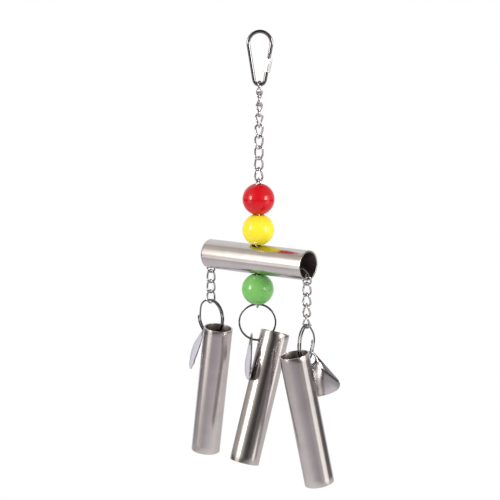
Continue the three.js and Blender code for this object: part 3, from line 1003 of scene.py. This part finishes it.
# Camera: turned and lifted about the crossbar, and aimed a little to its left and above it.
CAMERA_LIFT = 8.07
CAMERA_ROLL = 0.45
CAMERA_DISTANCE = 0.95
AIM_LEFT = 5.16
AIM_UP = 6.0
FOCAL_PIXELS = 1488
PICTURE_PIXELS = 500
SENSOR_WIDTH = 36

azimuth = math.radians(FACING)
elevation = math.radians(CAMERA_LIFT)
right = Vector((math.cos(azimuth), math.sin(azimuth), 0))
front = Vector((math.sin(azimuth), -math.cos(azimuth), 0))
towards = math.cos(elevation) * front + math.sin(elevation) * UP
low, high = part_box("crossbar_tube")
target = (Vector(low) + Vector(high)) / 2 - AIM_LEFT * MM * right + AIM_UP * MM * UP
camera = bpy.data.objects.new("camera", bpy.data.cameras.new("camera"))
bpy.context.scene.collection.objects.link(camera)
camera.data.sensor_width = SENSOR_WIDTH
camera.data.lens = FOCAL_PIXELS / PICTURE_PIXELS * SENSOR_WIDTH
camera.data.clip_start = 0.01
camera.data.clip_end = 50
camera.location = target + CAMERA_DISTANCE * towards
roll = Matrix.Rotation(math.radians(CAMERA_ROLL), 4, "Z").to_quaternion()
camera.rotation_euler = (towards.to_track_quat("Z", "Y") @ roll).to_euler()
bpy.context.scene.camera = camera


# Lamps: a soft box and a small lamp on either side of the object.
def around(turn, lift, distance):
    """Offset from the target, turned to the right of the camera's side and lifted above level."""
    flat = math.cos(math.radians(turn)) * front + math.sin(math.radians(turn)) * right
    return distance * (math.cos(math.radians(lift)) * flat + math.sin(math.radians(lift)) * UP)


def add_lamp(name, place, width, height, power, colour):
    lamp = bpy.data.lights.new(name, "AREA")
    lamp.shape = "RECTANGLE"
    lamp.size = width
    lamp.size_y = height
    lamp.energy = power
    lamp.color = colour
    box = bpy.data.objects.new(name, lamp)
    bpy.context.scene.collection.objects.link(box)
    box.location = target + place
    box.rotation_euler = place.to_track_quat("Z", "Y").to_euler()
    box.visible_camera = False


add_lamp(
    "left_soft_box",
    around(turn=-66, lift=7, distance=1.3),
    width=0.85,
    height=1.38,
    power=3.5,
    colour=(1, 0.965, 0.92),
)
add_lamp(
    "right_soft_box",
    around(turn=68, lift=0, distance=1.3),
    width=0.75,
    height=1.25,
    power=3.4,
    colour=(1, 0.975, 0.95),
)
add_lamp(
    "left_lamp",
    around(turn=-61, lift=13, distance=1.2),
    width=0.34,
    height=0.46,
    power=6.8,
    colour=(1, 0.97, 0.94),
)
add_lamp(
    "right_lamp",
    around(turn=55, lift=13, distance=1.2),
    width=0.42,
    height=0.50,
    power=8.4,
    colour=(1, 0.98, 0.96),
)

# World: white to the camera, an even level to matt surfaces, and a studio to reflections. The studio
# has a white sweep behind the object, a dimmer room on the camera's side and a white patch of ceiling.
# Each ramp gives tones along a direction, from -1, straight away from it, to 1, straight along it.
BLACK = (0, 0, 0)
WHITE = (1, 1, 1)
SWEEP_BY_HEIGHT = [
    (-1, (0.66, 0.63, 0.68)),
    (-0.25, (0.78, 0.76, 0.84)),
    (0.0, (0.86, 0.85, 0.93)),
    (1, WHITE),
]
GROUND_BY_SIDE = [
    (-0.9, (0.60, 0.56, 0.57)),
    (-0.45, (0.46, 0.425, 0.45)),
    (0.3, (0.47, 0.435, 0.46)),
    (0.78, (0.80, 0.76, 0.75)),
]
WALL_BY_SIDE = [
    (-1, (0.55, 0.52, 0.48)),
    (-0.73, (0.78, 0.73, 0.66)),
    (-0.5, (0.42, 0.39, 0.35)),
    (-0.2, (0.06, 0.055, 0.058)),
    (0.16, (0.045, 0.042, 0.048)),
    (0.4, (0.36, 0.32, 0.30)),
    (0.7, (0.58, 0.54, 0.52)),
    (1, (0.60, 0.56, 0.57)),
]
DEEP_GROUND_SHARE = [(-0.58, WHITE), (-0.42, BLACK)]
GROUND_SHARE = [(-0.25, WHITE), (-0.17, BLACK)]
WALL_SHARE = [(-0.09, BLACK), (0.02, WHITE)]
ROOM_SHARE = [(-0.82, BLACK), (-0.62, WHITE)]
CEILING_SHARE = [(0.90, BLACK), (0.955, WHITE)]
DEEP_GROUND_TONE = (0.82, 0.77, 0.83, 1)
SKIRTING_TONE = (0.05, 0.043, 0.042, 1)
CEILING_TONE = (1, 0.985, 0.965, 1)
MATT_TONE = (0.47, 0.467, 0.464, 1)
CAMERA_TONE = (1, 1, 1, 1)
CEILING_UP = 0.732
CEILING_LEFT = 0.297
CEILING_BACK = 0.613

world = bpy.data.worlds.new("studio")
bpy.context.scene.world = world
world.use_nodes = True
sky = world.node_tree
sky.nodes.clear()
sky_output = sky.nodes.new("ShaderNodeOutputWorld")
sky_place = sky.nodes.new("ShaderNodeTexCoord")


def part_along(direction):
    dot = sky.nodes.new("ShaderNodeVectorMath")
    dot.operation = "DOT_PRODUCT"
    dot.inputs[1].default_value = direction
    sky.links.new(sky_place.outputs["Generated"], dot.inputs[0])
    return dot.outputs["Value"]


def ramp_of(part, stops):
    ramp = sky.nodes.new("ShaderNodeValToRGB")
    shift = sky.nodes.new("ShaderNodeMapRange")
    shift.inputs["From Min"].default_value = -1
    sky.links.new(part, shift.inputs["Value"])
    sky.links.new(shift.outputs["Result"], ramp.inputs["Fac"])
    elements = ramp.color_ramp.elements
    while len(elements) < len(stops):
        elements.new(0.5)
    for element, (position, colour) in zip(elements, stops):
        element.position = (position + 1) / 2
        element.color = (*colour, 1)
    return ramp.outputs["Color"]


def mix_of(factor, first, second):
    mix = sky.nodes.new("ShaderNodeMix")
    mix.data_type = "RGBA"
    sky.links.new(factor, mix.inputs["Factor"])
    for value, socket in ((first, mix.inputs["A"]), (second, mix.inputs["B"])):
        if isinstance(value, tuple):
            socket.default_value = value
        else:
            sky.links.new(value, socket)
    return mix.outputs["Result"]


height = part_along(tuple(UP))
ahead = part_along(tuple(front))
aside = part_along(tuple(right))
overhead = part_along(tuple(CEILING_UP * UP - CEILING_LEFT * right - CEILING_BACK * front))
sweep_tone = ramp_of(height, SWEEP_BY_HEIGHT)
ground = mix_of(ramp_of(height, DEEP_GROUND_SHARE), ramp_of(aside, GROUND_BY_SIDE), DEEP_GROUND_TONE)
below = mix_of(ramp_of(height, GROUND_SHARE), SKIRTING_TONE, ground)
room = mix_of(ramp_of(height, WALL_SHARE), below, ramp_of(aside, WALL_BY_SIDE))
walls = mix_of(ramp_of(ahead, ROOM_SHARE), sweep_tone, room)
studio = mix_of(ramp_of(overhead, CEILING_SHARE), walls, CEILING_TONE)
rays = sky.nodes.new("ShaderNodeLightPath")
reflected = sky.nodes.new("ShaderNodeMath")
reflected.operation = "MAXIMUM"
sky.links.new(rays.outputs["Is Glossy Ray"], reflected.inputs[0])
sky.links.new(rays.outputs["Is Transmission Ray"], reflected.inputs[1])
lit = mix_of(reflected.outputs["Value"], MATT_TONE, studio)
seen = mix_of(rays.outputs["Is Camera Ray"], lit, CAMERA_TONE)
background = sky.nodes.new("ShaderNodeBackground")
sky.links.new(seen, background.inputs["Color"])
sky.links.new(background.outputs["Background"], sky_output.inputs["Surface"])

# Floor: a pale round sheet below the object that fades out towards its edge. The camera sees it a
# little brighter than it is lit.
FLOOR_RADIUS = 0.5
FLOOR_DROP = 0.2
FLOOR_ROUGHNESS = 0.8
FLOOR_CLOUD_SCALE = 6
FLOOR_TONES = ((0.95, 0.948, 0.945), (0.97, 0.968, 0.965))
FLOOR_LIFT = 0.24
FADE_START = 0.12
FADE_END = 0.46

floor_mesh = bpy.data.meshes.new("floor")
work = bmesh.new()
bmesh.ops.create_circle(work, cap_ends=True, segments=COLUMNS, radius=FLOOR_RADIUS)
work.to_mesh(floor_mesh)
work.free()
floor = bpy.data.objects.new("floor", floor_mesh)
bpy.context.scene.collection.objects.link(floor)
floor.location = (0, 0, cad_bounds[0][2] - FLOOR_DROP)
pale, tree, shader, output = new_material("pale_floor")
floor_mesh.materials.append(pale)
shader.inputs["Roughness"].default_value = FLOOR_ROUGHNESS
cloud = noise_field(tree, FLOOR_CLOUD_SCALE)
tree.links.new(blend_colours(tree, cloud, *FLOOR_TONES), shader.inputs["Base Color"])
floor_place = tree.nodes.new("ShaderNodeTexCoord")
distance = tree.nodes.new("ShaderNodeVectorMath")
distance.operation = "LENGTH"
tree.links.new(floor_place.outputs["Object"], distance.inputs[0])
fade = spread(tree, distance.outputs["Value"], 0, 1, FADE_START, FADE_END)
floor_rays = tree.nodes.new("ShaderNodeLightPath")
lift = tree.nodes.new("ShaderNodeMath")
lift.operation = "MULTIPLY"
lift.inputs[1].default_value = FLOOR_LIFT
tree.links.new(floor_rays.outputs["Is Camera Ray"], lift.inputs[0])
glow = tree.nodes.new("ShaderNodeEmission")
tree.links.new(lift.outputs["Value"], glow.inputs["Strength"])
lifted = tree.nodes.new("ShaderNodeAddShader")
tree.links.new(shader.outputs["BSDF"], lifted.inputs[0])
tree.links.new(glow.outputs["Emission"], lifted.inputs[1])
clear = tree.nodes.new("ShaderNodeBsdfTransparent")
faded = tree.nodes.new("ShaderNodeMixShader")
tree.links.new(fade, faded.inputs["Fac"])
tree.links.new(lifted.outputs["Shader"], faded.inputs[1])
tree.links.new(clear.outputs["BSDF"], faded.inputs[2])
tree.links.new(faded.outputs["Shader"], output.inputs["Surface"])

bpy.context.scene.view_settings.view_transform = "Standard"
